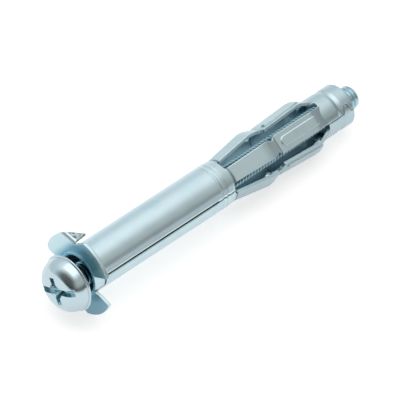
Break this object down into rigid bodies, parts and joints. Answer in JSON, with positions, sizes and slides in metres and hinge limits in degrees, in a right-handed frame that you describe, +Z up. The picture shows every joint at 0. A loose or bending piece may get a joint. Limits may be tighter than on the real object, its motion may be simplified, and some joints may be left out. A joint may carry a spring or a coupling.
{
  "type": "metal hollow wall anchor",
  "caption": "Metal hollow wall anchor: a flanged, slit steel sleeve whose legs fold out behind a thin wall, with a machine screw through it into a crimped threaded bush.",
  "frame": {"origin": "centre of the overall box, on the floor that the anchor lies on", "axes": "+X along the anchor from the screw's head towards its tip, nearly level; +Z up"},
  "size_m": [0.0812, 0.017, 0.0172],
  "materials": {
    "sleeve_zinc": "bluish zinc plate on rolled sheet",
    "screw_zinc": "bluish zinc plate on cold-headed steel",
    "bush_zinc": "zinc plate on turned steel"
  },
  "bodies": {
    "sleeve": {"expansion_sleeve": "sleeve_zinc", "threaded_bush": "bush_zinc"},
    "screw": {"machine_screw": "screw_zinc"}
  },
  "joints": [
    {"name": "screw_turn", "type": "hinge", "parent": "sleeve", "child": "screw", "pos_m": [0.0339, -0.00007, 0.00542], "axis": [0.9994, 0, -0.0348], "continuous": true}
  ]
}
